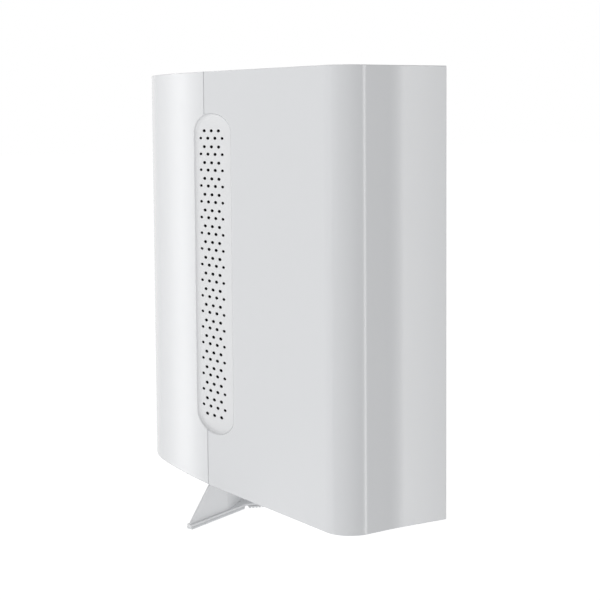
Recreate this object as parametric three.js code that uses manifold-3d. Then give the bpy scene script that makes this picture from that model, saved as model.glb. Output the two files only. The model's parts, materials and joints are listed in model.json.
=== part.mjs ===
// A slim upright wireless router on a pull-off stand. Millimetres, +Z up.
// X is the thickness, -Y the front, and Z = 0 the underside of the stand's ridged sole.
// The flat side panel faces -X, the side cover +X and the port panel +Y.
import * as THREE from 'three';
import { mergeVertices } from 'three/addons/utils/BufferGeometryUtils.js';
import Module from 'manifold-3d';

const wasm = await Module();
wasm.setup();

// ---- driving dimensions ----

// Fits between pieces, and how far a cutting solid runs past what it cuts.
const gap = 0.3;
const seamGap = 0.5;
const overcut = 1;

// Body.
const bodyHeight = 200;
const bodyWidth = 55;
const wall = 2.2;
const seamToFront = 111.2;
const flareRise = 2.2;
const flareWidth = 26.1;
const flareBend = 4;
const cornerRadius = 13;
const seamAngle = THREE.MathUtils.degToRad(2.3);
const taperRadius = 403;
const taperTurn = THREE.MathUtils.degToRad(7.7);
const sweepRadius = 74.4;
const sweepTurn = THREE.MathUtils.degToRad(16.1);
const rearEdgeRadius = 8;
const rearCornerRadius = 3;
const coverThickness = 2.2;

// Vent: a recessed slot with half-oval ends and rows of three and four oval holes, and a black
// screen behind its thin plate.
const ventWidth = 34;
const ventLength = 153.6;
const ventEndHeight = 9.4;
const ventCentreAhead = 6.7;
const ventBottomRise = 26.4;
const ventFloorDepth = 1.5;
const ventRimWidth = 1.2;
const ventRimDrop = 0.2;
const ventPlate = 0.7;
const ventBackDepth = 3.5;
const ventScreenThickness = 0.4;
const ventFlange = 2.5;
const ventRowPairs = 18;
const ventHolePitch = 6.55;
const ventNearStep = 3.54;
const ventFarStep = 4.09;
const ventHoleWidth = 2.85;
const ventHoleHeight = 1.48;
const ventOuterHoleScale = 0.89;
const ventHolesBack = 2.6;

// Stand.
const standHeight = 18.6;
const finOverhang = 14.5;
const finAhead = 7.6;
const finSweep = THREE.MathUtils.degToRad(21.3);
const finThickness = 1;
const finSetback = 1.2;
const finSlope = THREE.MathUtils.degToRad(45);
const hubReach = 13.5;
const hubSetback = 6;
const heelLength = 38;
const heelWidth = 8;
const baseWidth = 6;
const baseThickness = 1;
const baseTipWidth = 3.6;
const soleThickness = 1.5;
const ridgePitch = 1.6;
const ridgeDepth = 0.7;
const ridgeFlat = 0.4;
const padWidth = 3;
const padInset = 1.2;
const padEdge = 1;
const heelPadGap = 3;
const tenonWidth = 12;
const tenonLength = 20;
const tenonHeight = 8;
const tenonBehindSeam = 9;
const socketWall = 2;
const mirrorOverlap = 0.05;

// Main board and what it carries.
const boardThickness = 1.6;
const boardFromCover = 8.7;
const boardFrontMargin = 20;
const boardEndMargin = 5;
const boardHoleInset = 11;
const boardRearHoleInset = 34;
const bossRadius = 3;
const screwRadius = 1.2;
const screwLength = 8;
const screwHeadRadius = 2.6;
const screwHeadHeight = 1.6;
const sinkScrewLength = 7;
const postInset = 4.2;
const pegRadius = 1.5;
const pegLength = 7;
const bracketReach = 11;
const bracketWidth = 8;
const bracketThickness = 1.2;
const bracketBoss = 6;

// Port panel.
const portPanelWidth = 28;
const portPanelLedge = 1.5;
const portPanelLip = 1;
const portRecess = 0.4;
const jackWidth = 16;
const jackHeight = 13.2;
const jackDepth = 18;
const jackPitch = 18.5;
const jackHoleWidth = 11.8;
const jackHoleHeight = 8.4;
const jackHoleDepth = 13;
const latchWidth = 6.4;
const latchWall = 1;
const usbWidth = 13.2;
const usbHeight = 6;
const usbDepth = 15;
const usbSheet = 0.6;
const usbBack = 3;
const usbTongue = 1.6;
const powerJackWidth = 9.4;
const powerJackHeight = 11;
const powerJackDepth = 13;
const powerBore = 3.1;
const powerPin = 1;
const pinSetback = 1;
const powerBack = 3;
const portLead = 14;
const portMargin = 9;
const buttonSize = 7;
const buttonProud = 1;
const buttonTravel = 0.8;
const capOverlap = 0.5;
const buttonPitch = 13;
const collarReach = 1;
const stemRadius = 1.5;
const resetRadius = 1;
const resetPitch = 9;
const resetSink = 0.6;
const switchSize = 6;
const switchHeight = 4.4;
const switchBehindFace = 9;

// Heat sink, chips and radio parts.
const chipSize = 19;
const chipHeight = 1.5;
const memorySize = 9.5;
const memoryHeight = 1;
const memorySpace = 3;
const padHeight = 0.8;
const sinkBase = 4;
const sinkFin = 17;
const sinkFinThickness = 2;
const sinkFinPitch = 7.2;
const sinkBeforeTransformers = 2;
const sinkWidth = 64;
const sinkHeight = 140;
const sinkRise = 6;
const sinkHoleInset = 6;
const shieldLength = 34;
const shieldDepth = 26;
const shieldHeight = 3;
const shieldWall = 0.4;
const radioChipSize = 9;
const radioChipHeight = 1;
const radioBehindEdge = 24;
const radioSpread = 40;
const antennaWidth = 12;
const antennaLength = 46;
const antennaThickness = 0.8;
const antennaOffWall = 5;
const antennaFirst = 9;
const antennaStep = 33;
const antennaSpread = 52;
const leadRadius = 0.7;
const leadStraight = 5;
const transformerSpace = 1;
const transformerHeight = 6;
const transformerDepth = 7;
const transformerLength = 24;
const capacitorRadius = 4;
const capacitorHeight = 10;
const capacitorPitch = 10;

// Status light.
const lightBehindEdge = 30;
const lightSize = 4;
const guideThickness = 2;
const guideWidth = 8;
const guideOverlap = 2;

// ---- derived places ----

const left = -bodyWidth / 2;
const right = bodyWidth / 2;
const bottom = standHeight;
const top = standHeight + bodyHeight;
const taperAngle = seamAngle + taperTurn;
const sweptAngle = taperAngle + sweepTurn;
const taperRun = taperRadius * (Math.sin(taperAngle) - Math.sin(seamAngle));
const taperRise = taperRadius * (Math.cos(seamAngle) - Math.cos(taperAngle));
const sweepRun = sweepRadius * (Math.sin(sweptAngle) - Math.sin(taperAngle));
const sweepRise = sweepRadius * (Math.cos(taperAngle) - Math.cos(sweptAngle));
const rearRun = rearEdgeRadius * (1 - Math.sin(sweptAngle));
const rearRise = rearEdgeRadius * Math.cos(sweptAngle);
const seamToRear = taperRun + sweepRun + rearRun;
const seamY = (seamToFront + flareRise - seamToRear - buttonProud) / 2;
const frontY = seamY - seamToFront;
const sharpY = frontY - flareRise;
const rearY = seamY + seamToRear;
const panelInner = left + wall;
const coverInner = right - coverThickness;
const innerBottom = bottom + wall;
const innerTop = top - wall;
const middleZ = (bottom + top) / 2;

const boardX1 = coverInner - boardFromCover;
const boardX0 = boardX1 - boardThickness;
const boardY0 = frontY + boardFrontMargin;
const lipY0 = rearY - wall - gap - portPanelLip;
const boardY1 = lipY0 - 2 * gap - collarReach - buttonTravel;
const boardZ0 = innerBottom + boardEndMargin;
const boardZ1 = innerTop - boardEndMargin;

const ventY = seamY - ventCentreAhead;
const ventZ0 = bottom + ventBottomRise;
const ventZ1 = ventZ0 + ventLength;
const ventZ = (ventZ0 + ventZ1) / 2;

// The port panel is centred on the flat part of the rear face, and is as tall as its column of
// sockets and buttons: power, LAN 1 to 4, WAN, USB, the two buttons and the reset pin.
const jackNames = ['lan_jack_1', 'lan_jack_2', 'lan_jack_3', 'lan_jack_4', 'wan_jack'];
const rearFlatX0 = left + taperRise + sweepRise + rearRise;
const portX = (rearFlatX0 + right - rearCornerRadius) / 2;
const columnLength = 2 * portMargin + portLead + jackWidth / 2 + jackNames.length * jackPitch
  + 2 * buttonPitch + resetPitch;
const portZ0 = middleZ - columnLength / 2;
const portZ1 = middleZ + columnLength / 2;

// ---- materials ----

function material(color, roughness, metalness = 0) {
  return new THREE.MeshStandardMaterial({ color, roughness, metalness });
}

const shellWhite = material(0xe6e7e8, 0.32);
const grilleWhite = material(0xe2e3e4, 0.42);
const standWhite = material(0xd8d9da, 0.4);
const soleGrey = material(0xb9bbbd, 0.8);
const portGrey = material(0xd3d5d7, 0.45);
const socketBlack = material(0x17181a, 0.5);
const boardGreen = material(0x1d5a3a, 0.5);
const chipBlack = material(0x1b1c1f, 0.45);
const steel = material(0xb6b9bd, 0.35, 1);
const tinplate = material(0xc7c9cb, 0.3, 1);
const aluminium = material(0xa9adb1, 0.4, 1);
const padBlue = material(0x7f9bb4, 0.85);
const guideClear = material(0xe9f1f5, 0.1);
const lightWhite = material(0xf4f2e2, 0.3);
const antennaGold = material(0x3a6b52, 0.45);
const leadGrey = material(0x5a5d61, 0.6);
const capacitorSilver = material(0xc3c5c9, 0.3, 1);

// ---- shape helpers ----

function solid(geometry) {
  const bare = geometry.clone();
  bare.deleteAttribute('normal');
  bare.deleteAttribute('uv');
  const merged = mergeVertices(bare, 1e-4);
  return new wasm.Manifold(new wasm.Mesh({
    numProp: 3,
    vertProperties: new Float32Array(merged.attributes.position.array),
    triVerts: new Uint32Array(merged.index.array),
  }));
}

function block(x0, x1, y0, y1, z0, z1) {
  const geometry = new THREE.BoxGeometry(x1 - x0, y1 - y0, z1 - z0);
  geometry.translate((x0 + x1) / 2, (y0 + y1) / 2, (z0 + z1) / 2);
  return solid(geometry);
}

// Shape (x, y) extruded upwards.
function upright(shape, z0, z1, curveSegments = 6) {
  const geometry = new THREE.ExtrudeGeometry(shape, {
    depth: z1 - z0, bevelEnabled: false, curveSegments,
  });
  geometry.translate(0, 0, z0);
  return solid(geometry);
}

// Shape drawn in (y, z) and extruded along +X.
function alongX(shape, x0, x1, curveSegments = 6) {
  const geometry = new THREE.ExtrudeGeometry(shape, {
    depth: x1 - x0, bevelEnabled: false, curveSegments,
  });
  const turn = new THREE.Matrix4().makeBasis(
    new THREE.Vector3(0, 1, 0),
    new THREE.Vector3(0, 0, 1),
    new THREE.Vector3(1, 0, 0),
  );
  geometry.applyMatrix4(turn);
  geometry.translate(x0, 0, 0);
  return solid(geometry);
}

function rodX(x0, x1, y, z, radius, sides = 12) {
  const geometry = new THREE.CylinderGeometry(radius, radius, x1 - x0, sides);
  geometry.rotateZ(Math.PI / 2);
  geometry.translate((x0 + x1) / 2, y, z);
  return solid(geometry);
}

function rodY(y0, y1, x, z, radius, sides = 12) {
  const geometry = new THREE.CylinderGeometry(radius, radius, y1 - y0, sides);
  geometry.translate(x, (y0 + y1) / 2, z);
  return solid(geometry);
}

// An upright slot with half-oval ends.
function slot(y, z0, z1, halfWidth, endHeight) {
  const shape = new THREE.Shape();
  shape.absellipse(y, z1 - endHeight, halfWidth, endHeight, 0, Math.PI);
  shape.absellipse(y, z0 + endHeight, halfWidth, endHeight, Math.PI, 2 * Math.PI);
  return shape;
}

// A screw pointing along -X, with its head's underside at headX.
function screw(headX, y, z, length = screwLength) {
  const profile = [
    [0, -length], [screwRadius * 0.5, -length], [screwRadius, -length + 1],
    [screwRadius, 0], [screwHeadRadius, 0], [screwHeadRadius, screwHeadHeight * 0.6],
    [screwHeadRadius * 0.7, screwHeadHeight], [0, screwHeadHeight],
  ].map(([r, h]) => new THREE.Vector2(r, h));
  const geometry = new THREE.LatheGeometry(profile, 10);
  geometry.rotateZ(-Math.PI / 2);
  geometry.translate(headX, y, z);
  return solid(geometry);
}

const router = new THREE.Group();

function add(name, shape, finish) {
  const mesh = shape.getMesh();
  const geometry = new THREE.BufferGeometry();
  geometry.setAttribute('position', new THREE.BufferAttribute(mesh.vertProperties, 3));
  geometry.setIndex(new THREE.BufferAttribute(mesh.triVerts, 1));
  const part = new THREE.Mesh(geometry, finish);
  part.name = name;
  router.add(part);
}

// ---- body outline ----

// Seen from above, clockwise from the sharp front edge round to the side cover.
function bodyOutline() {
  const shape = new THREE.Shape();
  const bend = new THREE.Vector2(right - flareWidth, frontY);
  const flare = new THREE.Vector2(flareWidth, -flareRise).setLength(flareBend);
  shape.moveTo(right, sharpY);
  shape.lineTo(bend.x + flare.x, bend.y + flare.y);
  shape.quadraticCurveTo(bend.x, bend.y, bend.x - flareBend, frontY);
  shape.lineTo(left + cornerRadius, frontY);
  shape.absarc(left + cornerRadius, frontY + cornerRadius, cornerRadius,
    1.5 * Math.PI, Math.PI, true);
  shape.lineTo(left, seamY);
  // Three arcs, each starting in the direction in which the one before ends.
  const arcs = [
    [taperRadius, seamAngle, taperAngle],
    [sweepRadius, taperAngle, sweptAngle],
    [rearEdgeRadius, sweptAngle, Math.PI / 2],
  ];
  let start = new THREE.Vector2(left, seamY);
  for (const [radius, from, to] of arcs) {
    const centreX = start.x + radius * Math.cos(from);
    const centreY = start.y - radius * Math.sin(from);
    shape.absarc(centreX, centreY, radius, Math.PI - from, Math.PI - to, true);
    start = new THREE.Vector2(centreX - radius * Math.cos(to), centreY + radius * Math.sin(to));
  }
  shape.lineTo(right - rearCornerRadius, rearY);
  shape.absarc(right - rearCornerRadius, rearY - rearCornerRadius, rearCornerRadius,
    Math.PI / 2, 0, true);
  return shape.getPoints(5).filter((point, i, all) => i === 0 || point.distanceTo(all[i - 1]) > 1e-3);
}

// Moves every side of a clockwise outline inwards and meets the moved sides at their corners.
function inset(points, distance) {
  return points.map((point, i) => {
    const before = points[(i + points.length - 1) % points.length];
    const after = points[(i + 1) % points.length];
    const a = point.clone().sub(before).normalize();
    const b = after.clone().sub(point).normalize();
    const normalA = new THREE.Vector2(a.y, -a.x);
    const normalB = new THREE.Vector2(b.y, -b.x);
    const mitre = normalA.clone().add(normalB);
    const reach = 2 * distance / mitre.lengthSq();
    return point.clone().addScaledVector(mitre, reach);
  });
}

const outline = bodyOutline();
const outerBody = upright(new THREE.Shape(outline), bottom, top);
const innerBody = upright(new THREE.Shape(inset(outline, wall)), innerBottom, innerTop);
const bossBody = upright(new THREE.Shape(inset(outline, wall / 2)), bottom + wall / 2, top - wall / 2);
const coverY0 = frontY + wall;
const coverY1 = rearY - wall;
const coverOpening = block(coverInner - wall, right + wall, coverY0, coverY1, innerBottom, innerTop);
const reach = bodyHeight + bodyWidth;
const frontHalf = block(left - wall, right + wall, sharpY - wall, seamY - seamGap / 2, 0, reach);
const rearHalf = block(left - wall, right + wall, seamY + seamGap / 2, rearY + wall, 0, reach);

// ---- fixing places, as [y, z] ----

const boardHoles = [boardY0 + boardHoleInset, boardY1 - boardRearHoleInset].flatMap(
  (y) => [[y, boardZ0 + boardHoleInset], [y, boardZ1 - boardHoleInset]],
);
const postPlaces = [
  [frontY + cornerRadius, innerBottom + postInset], [frontY + cornerRadius, innerTop - postInset],
  [seamY + taperRun, innerBottom + postInset], [seamY + taperRun, innerTop - postInset],
];
const bracketX = panelInner + bracketBoss + gap;
const bracketHeights = [
  (innerBottom + ventZ0 - ventFlange) / 2,
  (innerTop + ventZ1 + ventFlange) / 2,
];
const bracketHoles = bracketHeights.flatMap((z) => [[seamY - bracketReach, z], [seamY + bracketReach, z]]);

function housing(half, frontSide) {
  const mine = ([y]) => (y < seamY) === frontSide;
  let shell = outerBody.subtract(innerBody).subtract(coverOpening);
  for (const [y, z] of boardHoles.filter(mine)) {
    shell = shell.add(rodX(left, boardX0 - gap, y, z, bossRadius).intersect(bossBody));
    shell = shell.subtract(rodX(boardX0 - screwLength - overcut, boardX0, y, z, screwRadius + gap, 8));
  }
  for (const [y, z] of postPlaces.filter(mine)) {
    shell = shell.add(rodX(left, coverInner - gap, y, z, bossRadius).intersect(bossBody));
    shell = shell.subtract(rodX(coverInner - pegLength - overcut, coverInner, y, z, pegRadius + gap, 8));
  }
  for (const [y, z] of bracketHoles.filter(mine)) {
    shell = shell.add(rodX(left, bracketX - gap, y, z, bossRadius).intersect(bossBody));
    shell = shell.subtract(rodX(panelInner + overcut, bracketX, y, z, screwRadius + gap, 8));
  }
  const opening = alongX(ventSlot(0), left - wall, panelInner + wall);
  return shell.subtract(opening).intersect(half);
}

// ---- housings ----

function tenonPlace(clearance) {
  const y0 = seamY + tenonBehindSeam;
  return [
    -tenonWidth / 2 - clearance, tenonWidth / 2 + clearance,
    y0 - clearance, y0 + tenonLength + clearance,
  ];
}

function frontHousing() {
  const guide = lightGuidePlace(gap);
  return housing(frontHalf, true).subtract(block(...guide, innerTop - overcut, top + overcut));
}

function rearHousing() {
  const socketTop = bottom + tenonHeight + gap;
  const socket = block(...tenonPlace(gap + socketWall), bottom, socketTop + socketWall);
  const pocket = block(...tenonPlace(gap), bottom - overcut, socketTop);
  const panelHole = block(portX - portPanelWidth / 2, portX + portPanelWidth / 2,
    rearY - wall - overcut, rearY + overcut, portZ0, portZ1);
  return housing(rearHalf, false).add(socket).subtract(pocket).subtract(panelHole);
}

function sideCover() {
  const plate = block(coverInner, right, coverY0 + gap, coverY1 - gap, innerBottom + gap, innerTop - gap);
  return postPlaces.reduce(
    (cover, [y, z]) => cover.add(rodX(coverInner - pegLength, coverInner + overcut, y, z, pegRadius, 8)),
    plate,
  );
}

// ---- vent grille ----

// The vent's outline, drawn in from the opening's edge on every side.
function ventSlot(inwards) {
  return slot(ventY, ventZ0 + inwards, ventZ1 - inwards, ventWidth / 2 - inwards,
    ventEndHeight - inwards);
}

function ventHole(y, z, scale) {
  const shape = new THREE.Shape();
  shape.absellipse(y, z, ventHoleWidth * scale / 2, ventHoleHeight * scale / 2, 0, 2 * Math.PI);
  return alongX(shape, left - overcut, left + ventBackDepth + overcut, 4);
}

function ventHoles() {
  const holes = [];
  const holeY = ventY + ventHolesBack;
  const patternHeight = ventRowPairs * (ventNearStep + ventFarStep);
  let z = ventZ + patternHeight / 2;
  for (let row = 0; row <= 2 * ventRowPairs; row += 1) {
    const count = row % 2 === 0 ? 3 : 4;
    for (let i = 0; i < count; i += 1) {
      const outer = count === 4 && (i === 0 || i === count - 1);
      const y = holeY + (i - (count - 1) / 2) * ventHolePitch;
      holes.push(ventHole(y, z, outer ? ventOuterHoleScale : 1));
    }
    z -= row % 2 === 0 ? ventNearStep : ventFarStep;
  }
  return holes;
}

const ventDishInset = gap + ventRimWidth;
const ventFloorX = left + ventFloorDepth;
const ventPlateBackX = ventFloorX + ventPlate;

function ventGrille() {
  const flangeX = panelInner + gap;
  const backX = left + ventBackDepth;
  const rim = alongX(ventSlot(gap), left + ventRimDrop, backX);
  const dish = alongX(ventSlot(ventDishInset), left - overcut, ventFloorX);
  const pocket = alongX(ventSlot(ventDishInset), ventPlateBackX, backX + overcut);
  const flange = alongX(ventSlot(-ventFlange), flangeX, backX).subtract(pocket);
  // The rim is trimmed to stay below the tapering strip behind the seam.
  const taperCut = upright(new THREE.Shape(inset(outline, ventRimDrop)), bottom, top);
  const clearOfShell = upright(new THREE.Shape(inset(outline, wall + gap)), bottom, top);
  const body = rim.intersect(taperCut).subtract(dish).subtract(pocket)
    .add(flange.intersect(clearOfShell));
  return ventHoles().reduce((grille, hole) => grille.subtract(hole), body);
}

function ventScreen() {
  const x0 = ventPlateBackX + gap;
  return alongX(ventSlot(ventDishInset + gap), x0, x0 + ventScreenThickness);
}

// ---- ports and buttons ----

const jackFaceY = rearY - portRecess;
const jackX1 = boardX0 - gap;
const jackX0 = jackX1 - jackHeight;
const powerJackZ = portZ0 + portMargin;
const firstJackZ = powerJackZ + portLead + jackWidth / 2;
const jackPlaces = jackNames.map((name, i) => firstJackZ + i * jackPitch);
const usbZ = jackPlaces[jackPlaces.length - 1] + jackPitch;
const buttonPlaces = [usbZ + buttonPitch, usbZ + 2 * buttonPitch];
const resetZ = buttonPlaces[1] + resetPitch;
const buttonX = jackX1 - switchHeight / 2 - collarReach;

function jack(z) {
  const y0 = jackFaceY - jackDepth;
  const middle = (jackX0 + jackX1) / 2;
  const body = block(jackX0, jackX1, y0, jackFaceY, z - jackWidth / 2, z + jackWidth / 2);
  const mouth = block(middle - jackHoleHeight / 2, middle + jackHoleHeight / 2,
    jackFaceY - jackHoleDepth, jackFaceY + overcut, z - jackHoleWidth / 2, z + jackHoleWidth / 2);
  const latch = block(jackX0 + latchWall, middle, jackFaceY - jackHoleDepth, jackFaceY + overcut,
    z - latchWidth / 2, z + latchWidth / 2);
  return body.subtract(mouth).subtract(latch);
}

function usbPort() {
  const x1 = boardX0 - gap;
  const x0 = x1 - usbHeight;
  const y0 = jackFaceY - usbDepth;
  const shell = block(x0, x1, y0, jackFaceY, usbZ - usbWidth / 2, usbZ + usbWidth / 2);
  const mouth = block(x0 + usbSheet, x1 - usbSheet, y0 + usbBack, jackFaceY + overcut,
    usbZ - usbWidth / 2 + usbSheet, usbZ + usbWidth / 2 - usbSheet);
  const tongue = block(x0 + 2 * usbSheet, x0 + 2 * usbSheet + usbTongue,
    y0 + usbBack / 2, jackFaceY - pinSetback,
    usbZ - usbWidth / 2 + 2 * usbSheet, usbZ + usbWidth / 2 - 2 * usbSheet);
  return shell.subtract(mouth).add(tongue);
}

function powerJack() {
  const x1 = boardX0 - gap;
  const x0 = x1 - powerJackHeight;
  const x = (x0 + x1) / 2;
  const y0 = jackFaceY - powerJackDepth;
  const body = block(x0, x1, y0, jackFaceY,
    powerJackZ - powerJackWidth / 2, powerJackZ + powerJackWidth / 2);
  const bore = rodY(y0 + powerBack, jackFaceY + overcut, x, powerJackZ, powerBore);
  const pin = rodY(y0 + powerBack / 2, jackFaceY - pinSetback, x, powerJackZ, powerPin, 8);
  return body.subtract(bore).add(pin);
}

function portPanel() {
  const half = portPanelWidth / 2;
  const lip = block(portX - half + gap, portX + half + portPanelLedge,
    lipY0, rearY - wall - gap, portZ0 - portPanelLedge, portZ1 + portPanelLedge);
  let panel = block(portX - half + gap, portX + half - gap, lipY0, rearY, portZ0 + gap, portZ1 - gap);
  panel = panel.add(lip);
  const through = [lipY0 - overcut, rearY + overcut];
  const cut = (x0, x1, z, width) => block(x0 - gap, x1 + gap, ...through,
    z - width / 2 - gap, z + width / 2 + gap);
  for (const z of jackPlaces) {
    panel = panel.subtract(cut(jackX0, jackX1, z, jackWidth));
  }
  panel = panel.subtract(cut(jackX1 - usbHeight, jackX1, usbZ, usbWidth));
  panel = panel.subtract(cut(jackX1 - powerJackHeight, jackX1, powerJackZ, powerJackWidth));
  for (const z of buttonPlaces) {
    panel = panel.subtract(cut(buttonX - buttonSize / 2, buttonX + buttonSize / 2, z, buttonSize));
  }
  return panel.subtract(rodY(...through, buttonX, resetZ, resetRadius + gap));
}

const switchFaceY = rearY - switchBehindFace;
const stemEndY = switchFaceY + buttonTravel + gap;

function button(z) {
  const half = buttonSize / 2;
  const wide = half + collarReach;
  const cap = block(buttonX - half, buttonX + half, lipY0 - gap - capOverlap, rearY + buttonProud,
    z - half, z + half);
  const collar = block(buttonX - wide, buttonX + wide, lipY0 - collarReach - gap, lipY0 - gap,
    z - wide, z + wide);
  const stem = rodY(stemEndY, lipY0 - gap - capOverlap, buttonX, z, stemRadius);
  return cap.add(collar).add(stem);
}

function resetButton() {
  const collar = rodY(lipY0 - collarReach - gap, lipY0 - gap, buttonX, resetZ, resetRadius + collarReach);
  return rodY(stemEndY, rearY - resetSink, buttonX, resetZ, resetRadius).add(collar);
}

function buttonSwitch(z) {
  return block(boardX0 - gap - switchHeight, boardX0 - gap,
    switchFaceY - switchSize, switchFaceY, z - switchSize / 2, z + switchSize / 2);
}

// ---- board, chips and heat sink ----

const chipFace = boardX0 - gap;
const transformerY1 = jackFaceY - jackDepth - transformerSpace;
const sinkY = transformerY1 - transformerDepth - sinkBeforeTransformers - sinkWidth / 2;
const sinkZ = middleZ + sinkRise;
const sinkBaseX = chipFace - chipHeight - gap - padHeight - gap;
const sinkHoleReach = sinkHeight / 2 - sinkHoleInset;
const sinkHoles = [[sinkY, sinkZ - sinkHoleReach], [sinkY, sinkZ + sinkHoleReach]];
const memoryY = sinkY - (chipSize + memorySize) / 2 - memorySpace;

function mainBoard() {
  const sheet = block(boardX0, boardX1, boardY0, boardY1, boardZ0, boardZ1);
  const board = postPlaces.reduce(
    (plate, [y, z]) => plate.subtract(rodX(boardX0 - overcut, boardX1 + overcut, y, z, bossRadius + gap)),
    sheet,
  );
  return [...boardHoles, ...sinkHoles].reduce(
    (plate, [y, z]) => plate.subtract(rodX(boardX0 - overcut, boardX1 + overcut, y, z,
      screwRadius + gap, 8)),
    board,
  );
}

function chip(y, z, size, height) {
  return block(chipFace - height, chipFace, y - size / 2, y + size / 2, z - size / 2, z + size / 2);
}

function heatSink() {
  const y0 = sinkY - sinkWidth / 2;
  const z0 = sinkZ - sinkHeight / 2;
  let sink = block(sinkBaseX - sinkBase, sinkBaseX, y0, y0 + sinkWidth, z0, z0 + sinkHeight);
  const finCount = Math.floor((sinkWidth - sinkFinThickness) / sinkFinPitch) + 1;
  const span = (finCount - 1) * sinkFinPitch + sinkFinThickness;
  for (let i = 0; i < finCount; i += 1) {
    const y = sinkY - span / 2 + i * sinkFinPitch;
    const blade = block(sinkBaseX - sinkBase - sinkFin, sinkBaseX - overcut,
      y, y + sinkFinThickness, z0, z0 + sinkHeight);
    sink = sink.add(blade);
  }
  for (const [y, z] of sinkHoles) {
    const bossDepth = boardX0 - gap - sinkBaseX;
    sink = sink.add(rodX(sinkBaseX - overcut, sinkBaseX + bossDepth, y, z, bossRadius));
    sink = sink.subtract(rodX(boardX0 - screwLength, boardX0, y, z, screwRadius + gap, 8));
  }
  return sink;
}

function shieldCan(y, z) {
  const outer = block(chipFace - shieldHeight, chipFace,
    y - shieldDepth / 2, y + shieldDepth / 2, z - shieldLength / 2, z + shieldLength / 2);
  const room = block(chipFace - shieldHeight + shieldWall, chipFace + overcut,
    y - shieldDepth / 2 + shieldWall, y + shieldDepth / 2 - shieldWall,
    z - shieldLength / 2 + shieldWall, z + shieldLength / 2 - shieldWall);
  return outer.subtract(room);
}

// ---- status light ----

const lightY = boardY0 + lightBehindEdge;

function lightGuidePlace(clearance) {
  const x1 = boardX0 - gap;
  return [
    x1 - guideThickness - clearance, x1 + clearance,
    lightY - guideWidth / 2 - clearance, lightY + guideWidth / 2 + clearance,
  ];
}

function lightGuide() {
  return block(...lightGuidePlace(0), boardZ1 - guideOverlap, top);
}

function statusLight() {
  const lightTop = boardZ1 - guideOverlap - gap;
  return block(chipFace - guideThickness, chipFace, lightY - lightSize / 2, lightY + lightSize / 2,
    lightTop - lightSize / 2, lightTop);
}

// ---- antennas ----

// Two antennas stand high and two low, just inside the flat side panel.
const antennaX = panelInner + antennaOffWall;
const antennaY = frontY + cornerRadius + antennaFirst;
const antennaPlaces = [antennaY, antennaY + antennaStep].flatMap(
  (y) => [{ y, z: middleZ + antennaSpread }, { y, z: middleZ - antennaSpread }],
);
const radioY = boardY0 + radioBehindEdge;
const radioHeights = [middleZ + radioSpread, middleZ - radioSpread];

function antennaBoard({ y, z }) {
  return block(antennaX, antennaX + antennaThickness,
    y - antennaWidth / 2, y + antennaWidth / 2, z - antennaLength / 2, z + antennaLength / 2);
}

function antennaLead({ y, z }, shieldZ) {
  const start = new THREE.Vector3(antennaX + antennaThickness + gap, y, z);
  const landing = shieldZ + Math.sign(y - radioY) * shieldLength / 8;
  const end = new THREE.Vector3(chipFace - shieldHeight - gap, radioY, landing);
  const path = new THREE.CatmullRomCurve3([
    start,
    start.clone().add(new THREE.Vector3(leadStraight, 0, 0)),
    new THREE.Vector3((start.x + end.x) / 2, (start.y + end.y) / 2, (start.z + end.z) / 2),
    end.clone().add(new THREE.Vector3(-leadStraight, 0, 0)),
    end,
  ]);
  const section = new THREE.Shape();
  section.absarc(0, 0, leadRadius, 0, 2 * Math.PI);
  return solid(new THREE.ExtrudeGeometry(section, {
    steps: 16, extrudePath: path, curveSegments: 3, bevelEnabled: false,
  }));
}

// ---- stand ----

// The stand is an arrowhead: two fins swept back from the tips to a hub, and a narrow heel behind.
const finTip = new THREE.Vector2(left - finOverhang, seamY - finAhead);
const finDirection = new THREE.Vector2(Math.cos(finSweep), Math.sin(finSweep));
const finLength = -finTip.x / finDirection.x;
const finMiddleY = finTip.y + finLength * finDirection.y;
const standTop = bottom - gap;
const baseZ0 = soleThickness;
const baseZ1 = baseZ0 + baseThickness;
const heelY = seamY + heelLength;

function mirrored(shape) {
  return shape.add(shape.mirror([1, 0, 0]));
}

function fin() {
  const height = standTop - baseZ0;
  const run = height / Math.tan(finSlope);
  const shape = new THREE.Shape([
    new THREE.Vector2(0, baseZ0),
    new THREE.Vector2(finLength, baseZ0),
    new THREE.Vector2(finLength, standTop),
    new THREE.Vector2(run, standTop),
  ]);
  const geometry = new THREE.ExtrudeGeometry(shape, { depth: finThickness, bevelEnabled: false });
  const forward = new THREE.Vector3(finDirection.x, finDirection.y, 0);
  const across = new THREE.Vector3(finDirection.y, -finDirection.x, 0);
  geometry.applyMatrix4(new THREE.Matrix4().makeBasis(forward, new THREE.Vector3(0, 0, 1), across));
  const back = finSetback + finThickness;
  geometry.translate(finTip.x - across.x * back, finTip.y - across.y * back, 0);
  return solid(geometry);
}

function baseStrip() {
  return upright(new THREE.Shape([
    new THREE.Vector2(finTip.x, finTip.y),
    new THREE.Vector2(0, finMiddleY),
    new THREE.Vector2(0, finMiddleY + baseWidth),
    new THREE.Vector2(finTip.x, finTip.y + baseTipWidth),
  ]), baseZ0, baseZ1);
}

function hub() {
  const faceX = -hubReach;
  const faceY = finMiddleY - hubReach * finDirection.y / finDirection.x + finSetback;
  return upright(new THREE.Shape([
    new THREE.Vector2(faceX, faceY),
    new THREE.Vector2(0, finMiddleY + hubSetback),
    new THREE.Vector2(0, heelY),
    new THREE.Vector2(-heelWidth / 2, heelY),
    new THREE.Vector2(-heelWidth / 2, finMiddleY + 2 * hubSetback + hubReach),
  ]), baseZ0, standTop);
}

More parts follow.
